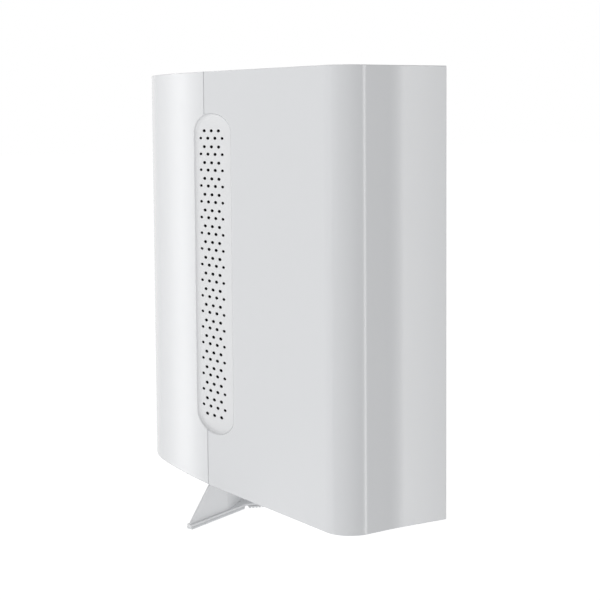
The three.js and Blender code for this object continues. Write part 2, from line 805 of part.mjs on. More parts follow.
function standFoot() {
  const blade = fin();
  const beforeHub = block(finTip.x - finThickness, -hubReach, finTip.y - finLength, heelY, 0, standTop);
  const half = blade.intersect(beforeHub).add(baseStrip()).add(hub());
  const leftOfMiddle = block(finTip.x, mirrorOverlap, finTip.y - finLength, heelY + wall, 0, bottom);
  const tenon = block(...tenonPlace(0), standTop - overcut, bottom + tenonHeight);
  return mirrored(half.intersect(leftOfMiddle)).add(tenon);
}

// A strip of rubber with a sawtooth underside, drawn along its length.
function ridgedStrip(length, width) {
  const count = Math.floor(length / ridgePitch);
  const pitch = length / count;
  const points = [new THREE.Vector2(0, soleThickness - gap)];
  for (let i = 0; i < count; i += 1) {
    points.push(new THREE.Vector2(i * pitch, ridgeDepth));
    points.push(new THREE.Vector2((i + 0.5 - ridgeFlat / 2) * pitch, 0));
    points.push(new THREE.Vector2((i + 0.5 + ridgeFlat / 2) * pitch, 0));
  }
  points.push(new THREE.Vector2(length, ridgeDepth));
  points.push(new THREE.Vector2(length, soleThickness - gap));
  return new THREE.ExtrudeGeometry(new THREE.Shape(points), { depth: width, bevelEnabled: false });
}

function solePad(side) {
  const geometry = ridgedStrip(finLength - padInset - padEdge, padWidth);
  const forward = new THREE.Vector3(finDirection.x, finDirection.y, 0);
  const across = new THREE.Vector3(finDirection.y, -finDirection.x, 0);
  geometry.applyMatrix4(new THREE.Matrix4().makeBasis(forward, new THREE.Vector3(0, 0, 1), across));
  const back = padWidth + gap;
  geometry.translate(
    finTip.x + forward.x * padInset - across.x * back,
    finTip.y + forward.y * padInset - across.y * back, 0);
  const pad = solid(geometry);
  return side < 0 ? pad : pad.mirror([1, 0, 0]);
}

function heelPad() {
  const length = heelY - finMiddleY - baseWidth - heelPadGap;
  const geometry = ridgedStrip(length, heelWidth - 2 * padEdge);
  const forward = new THREE.Vector3(0, -1, 0);
  const across = new THREE.Vector3(-1, 0, 0);
  geometry.applyMatrix4(new THREE.Matrix4().makeBasis(forward, new THREE.Vector3(0, 0, 1), across));
  geometry.translate(heelWidth / 2 - padEdge, heelY - padEdge, 0);
  return solid(geometry);
}

// ---- seam brackets ----

function seamBracket(z) {
  const reachY = bracketReach + bracketWidth / 2;
  const plate = block(bracketX, bracketX + bracketThickness, seamY - reachY, seamY + reachY,
    z - bracketWidth / 2, z + bracketWidth / 2);
  return [seamY - bracketReach, seamY + bracketReach].reduce(
    (strip, y) => strip.subtract(rodX(bracketX - overcut, bracketX + bracketThickness + overcut, y, z,
      screwRadius + gap, 8)),
    plate,
  );
}

// ---- assembly ----

add('front_housing', frontHousing(), shellWhite);
add('rear_housing', rearHousing(), shellWhite);
add('side_cover', sideCover(), shellWhite);
add('vent_grille', ventGrille(), grilleWhite);
add('vent_screen', ventScreen(), socketBlack);
add('port_panel', portPanel(), portGrey);
jackNames.forEach((name, i) => add(name, jack(jackPlaces[i]), socketBlack));
add('usb_port', usbPort(), tinplate);
add('power_jack', powerJack(), socketBlack);
add('power_button', button(buttonPlaces[0]), portGrey);
add('pairing_button', button(buttonPlaces[1]), portGrey);
add('reset_button', resetButton(), portGrey);
add('power_switch', buttonSwitch(buttonPlaces[0]), chipBlack);
add('pairing_switch', buttonSwitch(buttonPlaces[1]), chipBlack);
add('reset_switch', buttonSwitch(resetZ), chipBlack);
add('main_board', mainBoard(), boardGreen);
add('processor', chip(sinkY, sinkZ, chipSize, chipHeight), chipBlack);
add('memory_chip', chip(memoryY, sinkZ, memorySize, memoryHeight), chipBlack);
add('thermal_pad', block(chipFace - chipHeight - gap - padHeight, chipFace - chipHeight - gap,
  sinkY - chipSize / 2, sinkY + chipSize / 2, sinkZ - chipSize / 2, sinkZ + chipSize / 2), padBlue);
add('heat_sink', heatSink(), aluminium);
sinkHoles.forEach(([y, z], i) => {
  add(`heat_sink_screw_${i + 1}`, screw(boardX1 + gap, y, z, sinkScrewLength), steel);
});
radioHeights.forEach((z, i) => {
  add(`radio_chip_${i + 1}`, chip(radioY, z, radioChipSize, radioChipHeight), chipBlack);
  add(`radio_shield_${i + 1}`, shieldCan(radioY, z), tinplate);
});
antennaPlaces.forEach((place, i) => {
  add(`antenna_board_${i + 1}`, antennaBoard(place), antennaGold);
  add(`antenna_lead_${i + 1}`, antennaLead(place, radioHeights[i % 2]), leadGrey);
});
[jackPlaces[0] + jackPitch / 2, jackPlaces[2] + jackPitch / 2].forEach((z, i) => {
  add(`lan_transformer_${i + 1}`, block(chipFace - transformerHeight, chipFace,
    transformerY1 - transformerDepth, transformerY1,
    z - transformerLength / 2, z + transformerLength / 2), chipBlack);
});
[1, 2].forEach((i) => {
  const y = jackFaceY - powerJackDepth - i * capacitorPitch;
  add(`capacitor_${i}`, rodX(chipFace - capacitorHeight, chipFace, y, powerJackZ, capacitorRadius),
    capacitorSilver);
});
add('status_light', statusLight(), lightWhite);
add('light_guide', lightGuide(), guideClear);
boardHoles.forEach(([y, z], i) => add(`board_screw_${i + 1}`, screw(boardX1 + gap, y, z), steel));
bracketHeights.forEach((z, i) => add(`seam_bracket_${i + 1}`, seamBracket(z), steel));
bracketHoles.forEach(([y, z], i) => {
  add(`seam_screw_${i + 1}`, screw(bracketX + bracketThickness + gap, y, z, bracketBoss), steel);
});
add('stand_foot', standFoot(), standWhite);
add('sole_pad_1', solePad(-1), soleGrey);
add('sole_pad_2', solePad(1), soleGrey);
add('sole_pad_3', heelPad(), soleGrey);

export default router;
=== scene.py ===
# A slim upright wireless router on its pull-off stand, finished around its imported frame.
import json
import math

import bmesh
import bpy
import numpy as np
from mathutils import Matrix, Vector


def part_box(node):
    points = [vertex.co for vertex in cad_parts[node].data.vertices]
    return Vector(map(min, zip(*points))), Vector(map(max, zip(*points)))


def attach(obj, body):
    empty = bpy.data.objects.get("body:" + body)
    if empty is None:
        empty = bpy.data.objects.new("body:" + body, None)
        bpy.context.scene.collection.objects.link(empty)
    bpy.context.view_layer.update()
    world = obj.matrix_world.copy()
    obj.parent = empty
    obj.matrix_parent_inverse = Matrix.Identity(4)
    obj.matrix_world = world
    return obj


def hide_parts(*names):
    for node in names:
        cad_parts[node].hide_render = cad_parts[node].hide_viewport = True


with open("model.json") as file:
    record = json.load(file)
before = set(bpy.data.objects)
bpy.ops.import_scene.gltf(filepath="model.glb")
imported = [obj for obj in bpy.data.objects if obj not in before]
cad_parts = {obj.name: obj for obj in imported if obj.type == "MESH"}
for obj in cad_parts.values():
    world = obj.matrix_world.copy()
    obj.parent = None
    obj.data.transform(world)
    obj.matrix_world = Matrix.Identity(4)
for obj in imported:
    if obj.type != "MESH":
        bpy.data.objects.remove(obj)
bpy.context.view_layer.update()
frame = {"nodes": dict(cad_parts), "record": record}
mm = 0.001
print("frame loaded with", len(frame["nodes"]), "nodes")

frontLow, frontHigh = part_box("front_housing")
rearLow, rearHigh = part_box("rear_housing")
grilleLow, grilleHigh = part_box("vent_grille")
panelLow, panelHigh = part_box("port_panel")
left, right = frontLow.x, frontHigh.x
bottom, top = frontLow.z, frontHigh.z
sharpY, rearY = frontLow.y, rearHigh.y
seamY = (frontHigh.y + rearLow.y) / 2

# Sizes of the body, as on the frame, and the small rounds that the frame leaves out.
bodyShape = {
    "wall": 2.2 * mm,
    "coverThickness": 2.2 * mm,
    "seamGap": 0.5 * mm,
    "flareRise": 2.2 * mm,
    "flareWidth": 26.1 * mm,
    "flareBend": 4 * mm,
    "cornerRadius": 13 * mm,
    "seamAngle": math.radians(2.3),
    "taperRadius": 403 * mm,
    "taperTurn": math.radians(7.7),
    "sweepRadius": 74.4 * mm,
    "sweepTurn": math.radians(16.1),
    "rearEdgeRadius": 8 * mm,
    "rearCornerRadius": 3 * mm,
    "edgeRound": 0.35 * mm,
    "sharpRound": 0.35 * mm,
    "seamRound": 0.12 * mm,
    "tongueInset": 1.3 * mm,
    "tongueReach": 1.2 * mm,
    "tongueGap": 0.1 * mm,
    "bossRadius": 3 * mm,
    "screwBore": 1.5 * mm,
    "postInset": 4.2 * mm,
    "openingGap": 0.12 * mm,
}
frontY = sharpY + bodyShape["flareRise"]
past = 5 * mm  # how far a cutting solid runs past what it cuts


def arcPoints(centre, radius, start, end, steps):
    # Points on a circle: centre + radius * (cos a, sin a), with a going evenly from start to end.
    angle = np.linspace(start, end, steps + 1)
    return np.column_stack([centre[0] + radius * np.cos(angle), centre[1] + radius * np.sin(angle)])


def cornerArc(before, corner, after, radius, steps=4):
    # A corner cut back to the arc that touches both of its sides.
    before, corner, after = (np.array(p, float) for p in (before, corner, after))
    toBefore = (before - corner) / np.linalg.norm(before - corner)
    toAfter = (after - corner) / np.linalg.norm(after - corner)
    half = math.acos(float(toBefore @ toAfter)) / 2
    middle = toBefore + toAfter
    centre = corner + middle / np.linalg.norm(middle) * radius / math.sin(half)
    start, end = corner + np.array([toBefore, toAfter]) * radius / math.tan(half)
    first = math.atan2(*(start - centre)[::-1])
    turn = math.atan2(*(end - centre)[::-1]) - first
    turn = (turn + math.pi) % (2 * math.pi) - math.pi
    return arcPoints(centre, radius, first, first + turn, steps)


def stripLine(behindSeam=0.0):
    # Three arcs from the seam to the rear face, each starting in the direction in which the one
    # before ends. With t the angle from +Y, a point is centre + radius * (-cos t, sin t).
    b = bodyShape
    taperEnd = b["seamAngle"] + b["taperTurn"]
    sweepEnd = taperEnd + b["sweepTurn"]
    arcs = [
        (b["taperRadius"], b["seamAngle"], taperEnd, 22),
        (b["sweepRadius"], taperEnd, sweepEnd, 18),
        (b["rearEdgeRadius"], sweepEnd, math.pi / 2, 16),
    ]
    start = np.array([left, seamY])
    lines = []
    for radius, first, last, steps in arcs:
        centre = start + radius * np.array([math.cos(first), -math.sin(first)])
        if not lines:
            first = math.asin(math.sin(first) + behindSeam / radius)
        line = arcPoints(centre, radius, math.pi - first, math.pi - last, steps)
        lines.append(line if not lines else line[1:])
        start = line[-1]
    return np.vstack(lines)


def frontLine():
    # From the corner of the side panel round to the bend of the flared edge.
    b = bodyShape
    radius = b["cornerRadius"]
    corner = arcPoints((left + radius, frontY + radius), radius, math.pi, 1.5 * math.pi, 32)
    bend = np.array([right - b["flareWidth"], frontY])
    flare = np.array([b["flareWidth"], -b["flareRise"]])
    flare = bend + flare / np.linalg.norm(flare) * b["flareBend"]
    t = np.linspace(0, 1, 9)[:, None]
    before = bend - np.array([b["flareBend"], 0])
    curve = (1 - t) ** 2 * before + 2 * t * (1 - t) * bend + t ** 2 * flare
    return np.vstack([corner, curve])


def halfOutline(front):
    # Seen from above, anticlockwise, with a small round at each sharp corner.
    b = bodyShape
    gap = b["seamGap"] / 2
    if front:
        line = frontLine()
        y = seamY - gap
        sharp = (right, sharpY)
        return np.vstack([
            line,
            cornerArc(line[-1], sharp, (right, y), b["sharpRound"]),
            cornerArc(sharp, (right, y), (left, y), b["seamRound"]),
            cornerArc((right, y), (left, y), line[0], b["seamRound"]),
        ])
    strip = stripLine(gap)[::-1]
    y = seamY + gap
    radius = b["rearCornerRadius"]
    return np.vstack([
        strip[:-1],
        cornerArc(strip[-2], strip[-1], (right, y), b["seamRound"]),
        cornerArc(strip[-1], (right, y), (right, rearY), b["seamRound"]),
        arcPoints((right - radius, rearY - radius), radius, 0, math.pi / 2, 12),
    ])


def wholeOutline():
    radius = bodyShape["rearCornerRadius"]
    rear = arcPoints((right - radius, rearY - radius), radius, 0, math.pi / 2, 12)
    return np.vstack([frontLine(), [(right, sharpY)], rear, stripLine()[::-1]])


def insetLine(points, distance):
    # Every side of an anticlockwise outline moves inwards, and the moved sides meet at the corners.
    sideIn = points - np.roll(points, 1, 0)
    sideOut = np.roll(points, -1, 0) - points
    normals = [np.column_stack([-s[:, 1], s[:, 0]]) / np.linalg.norm(s, axis=1)[:, None]
               for s in (sideIn, sideOut)]
    mitre = normals[0] + normals[1]
    return points + mitre * (2 * distance / (mitre ** 2).sum(1))[:, None]


def ringSolid(name, rings):
    # Closed rings of points, joined one to the next, with a flat face over the first and the last.
    rings = np.asarray(rings, float)
    count, size = rings.shape[:2]
    row = np.arange(count - 1)[:, None] * size
    here = np.arange(size)[None]
    after = (here + 1) % size
    quads = np.stack([row + here, row + after, row + size + after, row + size + here], -1)
    faces = quads.reshape(-1, 4).tolist()
    faces += [list(range(size)), list(range((count - 1) * size, count * size))]
    mesh = bpy.data.meshes.new(name)
    mesh.from_pydata(rings.reshape(-1, 3).tolist(), [], faces)
    return solidObject(name, mesh)


def solidObject(name, mesh):
    work = bmesh.new()
    work.from_mesh(mesh)
    bmesh.ops.recalc_face_normals(work, faces=work.faces)
    work.to_mesh(mesh)
    work.free()
    made = bpy.data.objects.new(name, mesh)
    bpy.context.scene.collection.objects.link(made)
    return made


def level(points, z):
    return np.column_stack([points, np.full(len(points), z)])


def roundedPrism(name, outline, low, high, edge=0.0, steps=4):
    # The outline carried up from low to high. Near each end it draws in along a quarter circle:
    # inset = edge * (1 - sin a) at height edge * (1 - cos a).
    if not edge:
        return ringSolid(name, [level(outline, low), level(outline, high)])
    angle = np.linspace(0, math.pi / 2, steps + 1)
    draw = [(edge * (1 - math.sin(a)), edge * (1 - math.cos(a))) for a in angle]
    rings = [level(insetLine(outline, i), low + h) for i, h in draw]
    rings += [level(insetLine(outline, i), high - h) for i, h in draw[::-1]]
    return ringSolid(name, rings)


def block(x0, x1, y0, y1, z0, z1):
    outline = np.array([(x0, y0), (x1, y0), (x1, y1), (x0, y1)])
    return roundedPrism("block", outline, z0, z1)


def rod(axis, start, end, across, radius, sides=40):
    # A round bar along x or y; across holds its other two places, in the order of the axes.
    circle = arcPoints(across, radius, 0, 2 * math.pi, sides)[:-1]
    column = "xyz".index(axis)
    return ringSolid("rod", [np.insert(circle, column, place, axis=1) for place in (start, end)])


def shaped(target, steps):
    # Each step joins ("UNION"), cuts ("DIFFERENCE") or keeps what is shared ("INTERSECT").
    for operation, other in steps:
        change = target.modifiers.new("shape", "BOOLEAN")
        change.operation = operation
        change.solver = "MANIFOLD"
        change.object = other
    graph = bpy.context.evaluated_depsgraph_get()
    made = bpy.data.meshes.new_from_object(target.evaluated_get(graph))
    target.modifiers.clear()
    target.data = made
    for _, other in steps:
        if other.name in bpy.data.objects:
            bpy.data.objects.remove(other)
    return target


def smoothed(piece, angle=34):
    piece.data.polygons.foreach_set("use_smooth", [True] * len(piece.data.polygons))
    piece.data.set_sharp_from_angle(angle=math.radians(angle))
    weighted = piece.modifiers.new("normals", "WEIGHTED_NORMAL")
    weighted.keep_sharp = True
    weighted.weight = 80
    return piece


def placeIn(piece, body, slotName, *nodes):
    piece.data.materials.clear()
    piece.data.materials.append(finishes[slotName])
    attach(piece, body)
    if nodes:
        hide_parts(*nodes)
    return piece


# Shared effects, as node groups with named inputs and outputs.

def newGroup(name, inputs, outputs):
    group = bpy.data.node_groups.new(name, "ShaderNodeTree")
    for label, kind, value in inputs:
        socket = group.interface.new_socket(label, in_out="INPUT", socket_type=kind)
        if value is not None:
            socket.default_value = value
    for label, kind in outputs:
        group.interface.new_socket(label, in_out="OUTPUT", socket_type=kind)
    return group, group.nodes.new("NodeGroupInput"), group.nodes.new("NodeGroupOutput")


def mathNode(tree, operation, first, second=None, third=None, clamp=False):
    node = tree.nodes.new("ShaderNodeMath")
    node.operation = operation
    node.use_clamp = clamp
    for socket, value in zip(node.inputs, (first, second, third)):
        if isinstance(value, bpy.types.NodeSocket):
            tree.links.new(value, socket)
        elif value is not None:
            socket.default_value = value
    return node.outputs[0]


def noiseNode(tree, vector, scale, detail=3.0, roughness=0.5):
    node = tree.nodes.new("ShaderNodeTexNoise")
    for label, value in (("Scale", scale), ("Detail", detail), ("Roughness", roughness)):
        if isinstance(value, bpy.types.NodeSocket):
            tree.links.new(value, node.inputs[label])
        else:
            node.inputs[label].default_value = value
    tree.links.new(vector, node.inputs["Vector"])
    return node.outputs["Fac"]


def makeGrainGroup():
    # Fine moulding grain: a height for bump, and a value around 1 that varies roughness.
    group, given, result = newGroup(
        "moulding grain",
        [("Vector", "NodeSocketVector", None), ("Grain Scale", "NodeSocketFloat", 2600.0),
         ("Patch Scale", "NodeSocketFloat", 22.0), ("Variation", "NodeSocketFloat", 0.15)],
        [("Height", "NodeSocketFloat"), ("Gain", "NodeSocketFloat")])
    fine = noiseNode(group, given.outputs["Vector"], given.outputs["Grain Scale"], 2.0, 0.55)
    patch = noiseNode(group, given.outputs["Vector"], given.outputs["Patch Scale"], 3.0, 0.6)
    centred = mathNode(group, "SUBTRACT", patch, 0.5)
    swing = mathNode(group, "MULTIPLY", centred, given.outputs["Variation"])
    gain = mathNode(group, "ADD", swing, 1.0)
    group.links.new(fine, result.inputs["Height"])
    group.links.new(gain, result.inputs["Gain"])
    return group


def makeTintGroup():
    # A faint cloud of tone across a moulding, and a little more along its exposed edges.
    group, given, result = newGroup(
        "tone and edges",
        [("Vector", "NodeSocketVector", None), ("Color", "NodeSocketColor", (0.8, 0.8, 0.8, 1)),
         ("Edge Color", "NodeSocketColor", (0.9, 0.9, 0.9, 1)), ("Edge Amount", "NodeSocketFloat", 0.3),
         ("Cloud Scale", "NodeSocketFloat", 9.0), ("Cloud Amount", "NodeSocketFloat", 0.02)],
        [("Color", "NodeSocketColor"), ("Edge", "NodeSocketFloat")])
    cloud = noiseNode(group, given.outputs["Vector"], given.outputs["Cloud Scale"], 4.0, 0.55)
    swing = mathNode(group, "MULTIPLY", mathNode(group, "SUBTRACT", cloud, 0.5),
                     given.outputs["Cloud Amount"])
    gain = mathNode(group, "ADD", swing, 1.0)
    scaled = group.nodes.new("ShaderNodeVectorMath")
    scaled.operation = "SCALE"
    group.links.new(given.outputs["Color"], scaled.inputs[0])
    group.links.new(gain, scaled.inputs["Scale"])
    geometry = group.nodes.new("ShaderNodeNewGeometry")
    sharpness = mathNode(group, "MULTIPLY_ADD", geometry.outputs["Pointiness"], 14.0, -7.3, clamp=True)
    edge = mathNode(group, "MULTIPLY", sharpness, given.outputs["Edge Amount"])
    mix = group.nodes.new("ShaderNodeMix")
    mix.data_type = "RGBA"
    group.links.new(edge, mix.inputs["Factor"])
    group.links.new(scaled.outputs[0], mix.inputs["A"])
    group.links.new(given.outputs["Edge Color"], mix.inputs["B"])
    group.links.new(mix.outputs["Result"], result.inputs["Color"])
    group.links.new(edge, result.inputs["Edge"])
    return group


def makeDustGroup():
    # Small specks in soft-edged patches, more on upward faces: a mask from 0 to 1.
    group, given, result = newGroup(
        "dust specks",
        [("Vector", "NodeSocketVector", None), ("Speck Scale", "NodeSocketFloat", 420.0),
         ("Amount", "NodeSocketFloat", 0.2)],
        [("Mask", "NodeSocketFloat")])
    cells = group.nodes.new("ShaderNodeTexVoronoi")
    group.links.new(given.outputs["Vector"], cells.inputs["Vector"])
    group.links.new(given.outputs["Speck Scale"], cells.inputs["Scale"])
    speck = mathNode(group, "LESS_THAN", cells.outputs["Distance"], 0.12)
    pick = noiseNode(group, given.outputs["Vector"], 60.0, 2.0)
    chosen = mathNode(group, "MULTIPLY_ADD", pick, 5.0, -3.0, clamp=True)
    geometry = group.nodes.new("ShaderNodeNewGeometry")
    split = group.nodes.new("ShaderNodeSeparateXYZ")
    group.links.new(geometry.outputs["Normal"], split.inputs[0])
    upward = mathNode(group, "MULTIPLY_ADD", split.outputs["Z"], 0.85, 0.15, clamp=True)
    both = mathNode(group, "MULTIPLY", mathNode(group, "MULTIPLY", speck, chosen), upward)
    mask = mathNode(group, "MULTIPLY", both, given.outputs["Amount"])
    group.links.new(mask, result.inputs["Mask"])
    return group


grainGroup = makeGrainGroup()
tintGroup = makeTintGroup()
dustGroup = makeDustGroup()
print("node groups made")


def groupNode(tree, group, vector, **values):
    node = tree.nodes.new("ShaderNodeGroup")
    node.node_tree = group
    tree.links.new(vector, node.inputs["Vector"])
    for label, value in values.items():
        node.inputs[label.replace("_", " ")].default_value = value
    return node


def surface(name, look):
    # One Principled surface: toned colour, dust, grain in the bump and a varied roughness.
    material = bpy.data.materials.new(name)
    material.use_nodes = True
    tree = material.node_tree
    shader = tree.nodes["Principled BSDF"]
    place = tree.nodes.new("ShaderNodeTexCoord").outputs["Object"]
    color = (*look["color"], 1)
    edgeColor = (*(min(1, c * look.get("edgeGain", 1.06)) for c in look["color"]), 1)
    tone = groupNode(tree, tintGroup, place, Color=color, Edge_Color=edgeColor,
                     Edge_Amount=look.get("edge", 0.3), Cloud_Amount=look.get("cloud", 0.02),
                     Cloud_Scale=look.get("cloudScale", 9.0))
    dust = groupNode(tree, dustGroup, place, Amount=look.get("dust", 0.15))
    grain = groupNode(tree, grainGroup, place, Grain_Scale=look.get("grain", 2600.0),
                      Variation=look.get("variation", 0.15))
    dusty = tree.nodes.new("ShaderNodeMix")
    dusty.data_type = "RGBA"
    dusty.inputs["B"].default_value = (0.62, 0.61, 0.59, 1)
    tree.links.new(dust.outputs["Mask"], dusty.inputs["Factor"])
    tree.links.new(tone.outputs["Color"], dusty.inputs["A"])
    tree.links.new(dusty.outputs["Result"], shader.inputs["Base Color"])
    rough = mathNode(tree, "MULTIPLY", grain.outputs["Gain"], look["roughness"])
    worn = mathNode(tree, "MULTIPLY_ADD", tone.outputs["Edge"], -0.1, rough)
    tree.links.new(mathNode(tree, "MULTIPLY_ADD", dust.outputs["Mask"], 0.4, worn, clamp=True),
                   shader.inputs["Roughness"])
    shader.inputs["Metallic"].default_value = look.get("metallic", 0.0)
    shader.inputs["IOR"].default_value = look.get("ior", 1.5)
    bump = tree.nodes.new("ShaderNodeBump")
    bump.inputs["Distance"].default_value = look.get("bumpDepth", 0.02) * mm
    bump.inputs["Strength"].default_value = look.get("bump", 0.3)
    tree.links.new(grain.outputs["Height"], bump.inputs["Height"])
    tree.links.new(bump.outputs["Normal"], shader.inputs["Normal"])
    return material


# The vent: a recessed slot with half-oval ends, and its hole pattern behind its middle.
vent = {
    "halfWidth": 17 * mm,
    "endHeight": 9.4 * mm,
    "flange": 2.5 * mm,
    "openingRound": 0.55 * mm,
    "gap": 0.03 * mm,
    "rimDrop": 0.16 * mm,
    "wallRun": 1.35 * mm,
    "floorDepth": 1.5 * mm,
    "plate": 0.7 * mm,
    "pocketInset": 1.5 * mm,
    "backDepth": 3.5 * mm,
    "flangeBehind": 2.5 * mm,
    "rowPairs": 18,
    "pitch": 6.55 * mm,
    "nearStep": 3.54 * mm,
    "farStep": 4.09 * mm,
    "holeWidth": 2.85 * mm,
    "holeHeight": 1.48 * mm,
    "outerScale": 0.89,
    "holesBack": 2.6 * mm,
    "holeRound": 0.1 * mm,
    "holeSides": 24,
    # Where the grille's painted shade in the holes starts under the floor, and how far it runs before it
    # reaches near black.
    "skin": 0.08 * mm,
    "skinFade": 0.1 * mm,
}
ventY = (grilleLow.y + grilleHigh.y) / 2
ventLow = grilleLow.z + vent["flange"]
ventHigh = grilleHigh.z - vent["flange"]

looks = {
    "shell_white": {"color": (0.795, 0.803, 0.817), "roughness": 0.23, "bump": 0.12, "dust": 0.02},
    "grille_white": {"color": (0.835, 0.84, 0.85), "roughness": 0.36, "bump": 0.2, "dust": 0.02},
    "stand_white": {"color": (0.86, 0.866, 0.875), "roughness": 0.32, "bump": 0.2, "dust": 0.03},
    "sole_grey": {"color": (0.80, 0.81, 0.82), "roughness": 0.75, "bump": 0.5, "grain": 1500.0,
                  "bumpDepth": 0.04, "dust": 0.4},
    "port_grey": {"color": (0.70, 0.71, 0.725), "roughness": 0.4, "bump": 0.5, "grain": 1800.0},
    "button_grey": {"color": (0.62, 0.63, 0.645), "roughness": 0.35, "bump": 0.3, "edge": 0.5},
    "socket_black": {"color": (0.022, 0.023, 0.025), "roughness": 0.42, "bump": 0.4,
                     "edgeGain": 2.0, "dust": 0.3},
    "tinplate": {"color": (0.66, 0.665, 0.67), "roughness": 0.28, "metallic": 1.0, "bump": 0.3,
                 "cloud": 0.12, "cloudScale": 60.0, "variation": 0.6},
    "chip_black": {"color": (0.03, 0.03, 0.033), "roughness": 0.55, "bump": 0.6, "grain": 3200.0,
                   "edgeGain": 1.8},
    "antenna_green": {"color": (0.05, 0.20, 0.12), "roughness": 0.35, "cloud": 0.15,
                      "cloudScale": 140.0},
    "lead_grey": {"color": (0.13, 0.135, 0.145), "roughness": 0.55, "bump": 0.4},
    "heat_sink_aluminium": {"color": (0.62, 0.63, 0.65), "roughness": 0.38, "metallic": 1.0,
                            "bump": 0.5, "grain": 900.0, "variation": 0.5, "cloud": 0.08},
    "pad_blue": {"color": (0.30, 0.45, 0.60), "roughness": 0.85, "bump": 0.7, "grain": 1200.0,
                 "cloud": 0.1, "cloudScale": 80.0},
    "capacitor_silver": {"color": (0.70, 0.71, 0.73), "roughness": 0.25, "metallic": 1.0,
                         "bump": 0.2, "variation": 0.4},
    "light_white": {"color": (0.90, 0.89, 0.78), "roughness": 0.25, "bump": 0.1},
    "screw_steel": {"color": (0.58, 0.59, 0.61), "roughness": 0.3, "metallic": 1.0, "bump": 0.4,
                    "grain": 1500.0, "variation": 0.5, "cloud": 0.1, "cloudScale": 90.0},
    "contact_gold": {"color": (0.86, 0.62, 0.26), "roughness": 0.25, "metallic": 1.0, "bump": 0.2,
                     "variation": 0.4},
}
finishes = {name: surface(name, look) for name, look in looks.items() if name != "grille_white"}


def boardFinish():
    # Solder mask over copper: bricks of two sizes stand for tracks, with fine pads between them.
    material = surface("board_green", {"color": (0.03, 0.16, 0.08), "roughness": 0.32,
                                       "cloud": 0.1, "cloudScale": 50.0, "bump": 0.2})
    tree = material.node_tree
    shader = tree.nodes["Principled BSDF"]
    place = tree.nodes.new("ShaderNodeTexCoord").outputs["Object"]
    turn = tree.nodes.new("ShaderNodeMapping")
    turn.inputs["Rotation"].default_value = (0, math.radians(90), 0)
    tree.links.new(place, turn.inputs["Vector"])
    tracks = tree.nodes.new("ShaderNodeTexBrick")
    tracks.inputs["Scale"].default_value = 120.0
    tracks.inputs["Mortar Size"].default_value = 0.06
    tree.links.new(turn.outputs[0], tracks.inputs["Vector"])
    cells = tree.nodes.new("ShaderNodeTexVoronoi")
    cells.inputs["Scale"].default_value = 260.0
    tree.links.new(place, cells.inputs["Vector"])
    pads = mathNode(tree, "LESS_THAN", cells.outputs["Distance"], 0.2)
    lines = mathNode(tree, "MAXIMUM", tracks.outputs["Fac"], pads)
    share = mathNode(tree, "MULTIPLY", lines, 0.45)
    mix = tree.nodes.new("ShaderNodeMix")
    mix.data_type = "RGBA"
    mix.inputs["B"].default_value = (0.09, 0.33, 0.14, 1)
    tree.links.new(share, mix.inputs["Factor"])
    tree.links.new(shader.inputs["Base Color"].links[0].from_socket, mix.inputs["A"])
    tree.links.new(mix.outputs["Result"], shader.inputs["Base Color"])
    return material


def guideFinish():
    # Clear acrylic with a faint haze in its roughness.
    material = surface("guide_clear", {"color": (0.90, 0.93, 0.95), "roughness": 0.12,
                                       "bump": 0.1, "edgeGain": 1.0})
    shader = material.node_tree.nodes["Principled BSDF"]
    shader.inputs["Transmission Weight"].default_value = 0.6
    shader.inputs["IOR"].default_value = 1.49
    return material


def grilleWithPaintedHoleShade(look):
    # White moulding with painted shade in its holes: the tone falls to near black just under the slot's
    # floor, standing in for the dark inside the body.
    material = surface("grille_white", look)
    tree = material.node_tree
    shader = tree.nodes["Principled BSDF"]
    split = tree.nodes.new("ShaderNodeSeparateXYZ")
    tree.links.new(tree.nodes.new("ShaderNodeTexCoord").outputs["Object"], split.inputs[0])
    # Depth at which the painted shade in the holes starts, just under the slot's floor.
    floor = left + vent["floorDepth"] + vent["skin"]
    under = mathNode(tree, "MULTIPLY_ADD", split.outputs["X"], 1 / vent["skinFade"],
                     -floor / vent["skinFade"], clamp=True)
    # Painted shade: the hole walls turn near black below that depth.
    mix = tree.nodes.new("ShaderNodeMix")
    mix.data_type = "RGBA"
    mix.inputs["B"].default_value = (0.01, 0.01, 0.011, 1)
    tree.links.new(under, mix.inputs["Factor"])
    tree.links.new(shader.inputs["Base Color"].links[0].from_socket, mix.inputs["A"])
    tree.links.new(mix.outputs["Result"], shader.inputs["Base Color"])
    return material


def screenFinish():
    # Black woven cloth: two crossed sets of fine threads set its tone.
    material = surface("screen_black", {"color": (0.012, 0.012, 0.014), "roughness": 0.85,
                                        "bump": 0.4, "edgeGain": 1.4, "dust": 0.05})
    tree = material.node_tree
    shader = tree.nodes["Principled BSDF"]
    place = tree.nodes.new("ShaderNodeTexCoord").outputs["Object"]
    threads = []
    for direction in ("Y", "Z"):
        wave = tree.nodes.new("ShaderNodeTexWave")
        wave.bands_direction = direction
        wave.inputs["Scale"].default_value = 800.0
        tree.links.new(place, wave.inputs["Vector"])
        threads.append(wave.outputs["Fac"])
    weave = mathNode(tree, "MAXIMUM", *threads)
    mix = tree.nodes.new("ShaderNodeMix")
    mix.data_type = "RGBA"
    mix.inputs["A"].default_value = (0.004, 0.004, 0.005, 1)
    tree.links.new(weave, mix.inputs["Factor"])
    tree.links.new(shader.inputs["Base Color"].links[0].from_socket, mix.inputs["B"])
    tree.links.new(mix.outputs["Result"], shader.inputs["Base Color"])
    shader.inputs["Specular IOR Level"].default_value = 0.15
    return material


# The grille's material has painted shade down its holes.
finishes["grille_white"] = grilleWithPaintedHoleShade(looks["grille_white"])
finishes["screen_black"] = screenFinish()
finishes["board_green"] = boardFinish()
finishes["guide_clear"] = guideFinish()
print("finishes made:", len(finishes))

slotOf = {p["node"]: p["material_slot"] for p in frame["record"]["subparts"]}
for nodeName, node in frame["nodes"].items():
    node.data.materials.clear()
    node.data.materials.append(finishes[slotOf[nodeName]])

